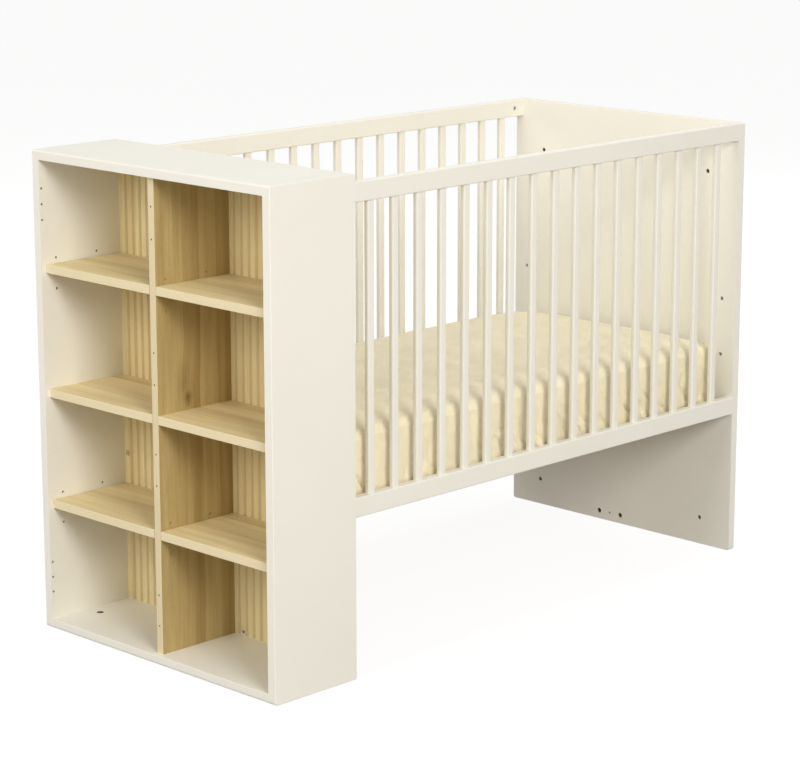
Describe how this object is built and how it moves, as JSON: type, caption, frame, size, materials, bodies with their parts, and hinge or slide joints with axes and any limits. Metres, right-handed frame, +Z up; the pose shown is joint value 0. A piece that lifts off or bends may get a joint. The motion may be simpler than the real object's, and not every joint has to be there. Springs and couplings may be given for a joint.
{
  "type": "crib with attached changer",
  "caption": "Crib with slatted sides on two rails each, a mattress on a height-adjustable slatted base, and an open-shelved changer unit joined to one end",
  "frame": {"origin": "on the floor, under the middle of the whole piece's plan", "axes": "+X runs from the changer unit's open front to the crib's far end, +Y across the crib, +Z up"},
  "size_m": [1.448, 0.7, 1],
  "materials": {
    "cream_lacquer": "satin lacquer",
    "oak": "oak veneer, matt oiled",
    "beech": "raw",
    "pine": "raw, sanded",
    "zinc_steel": "zinc plated",
    "cam_zinc": "dull dark zinc",
    "dark_steel": "bronzed",
    "sheet_cotton": "plain woven cotton"
  },
  "bodies": {
    "frame": {"near_side_panel": "cream_lacquer", "far_side_panel": "cream_lacquer", "changer_top": "cream_lacquer", "bottom_board": "cream_lacquer", "divider": "oak", "reeded_back": "oak", "fixed_shelf_near": "oak", "fixed_shelf_far": "oak", "shelf_pins": "dark_steel", "cam_locks": "cam_zinc", "cam_bolts": "zinc_steel", "carcass_dowels": "beech", "back_screws": "dark_steel", "end_panel": "cream_lacquer", "front_top_rail": "cream_lacquer", "front_bottom_rail": "cream_lacquer", "rear_top_rail": "cream_lacquer", "rear_bottom_rail": "cream_lacquer", "front_slat_01": "cream_lacquer", "front_slat_02": "cream_lacquer", "front_slat_03": "cream_lacquer", "front_slat_04": "cream_lacquer", "front_slat_05": "cream_lacquer", "front_slat_06": "cream_lacquer", "front_slat_07": "cream_lacquer", "front_slat_08": "cream_lacquer", "front_slat_09": "cream_lacquer", "front_slat_10": "cream_lacquer", "front_slat_11": "cream_lacquer", "front_slat_12": "cream_lacquer", "front_slat_13": "cream_lacquer", "front_slat_14": "cream_lacquer", "front_slat_15": "cream_lacquer", "front_slat_16": "cream_lacquer", "front_slat_17": "cream_lacquer", "rear_slats": "cream_lacquer", "rail_bolts": "zinc_steel", "barrel_nuts": "zinc_steel", "rail_dowels": "beech", "threaded_inserts": "zinc_steel", "base_brackets": "zinc_steel", "bracket_bolts": "zinc_steel"},
    "base": {"base_head_rail": "pine", "base_foot_rail": "pine", "base_near_rail": "pine", "base_far_rail": "pine", "base_slats": "pine", "base_screws": "zinc_steel"},
    "mattress": {"mattress": "sheet_cotton"},
    "upper_shelf_near": {"upper_shelf_near": "oak"},
    "upper_shelf_far": {"upper_shelf_far": "oak"},
    "lower_shelf_near": {"lower_shelf_near": "oak"},
    "lower_shelf_far": {"lower_shelf_far": "oak"}
  },
  "joints": [
    {"name": "base_lift", "type": "slide", "parent": "frame", "child": "base", "axis": [0, 0, 1], "range_m": [0, 0.256]},
    {"name": "mattress_lift", "type": "slide", "parent": "base", "child": "mattress", "axis": [0, 0, 1], "range_m": [0, 0.63]},
    {"name": "upper_shelf_near_pull", "type": "slide", "parent": "frame", "child": "upper_shelf_near", "axis": [-1, 0, 0], "range_m": [0, 0.19]},
    {"name": "upper_shelf_far_pull", "type": "slide", "parent": "frame", "child": "upper_shelf_far", "axis": [-1, 0, 0], "range_m": [0, 0.19]},
    {"name": "lower_shelf_near_pull", "type": "slide", "parent": "frame", "child": "lower_shelf_near", "axis": [-1, 0, 0], "range_m": [0, 0.19]},
    {"name": "lower_shelf_far_pull", "type": "slide", "parent": "frame", "child": "lower_shelf_far", "axis": [-1, 0, 0], "range_m": [0, 0.19]}
  ]
}
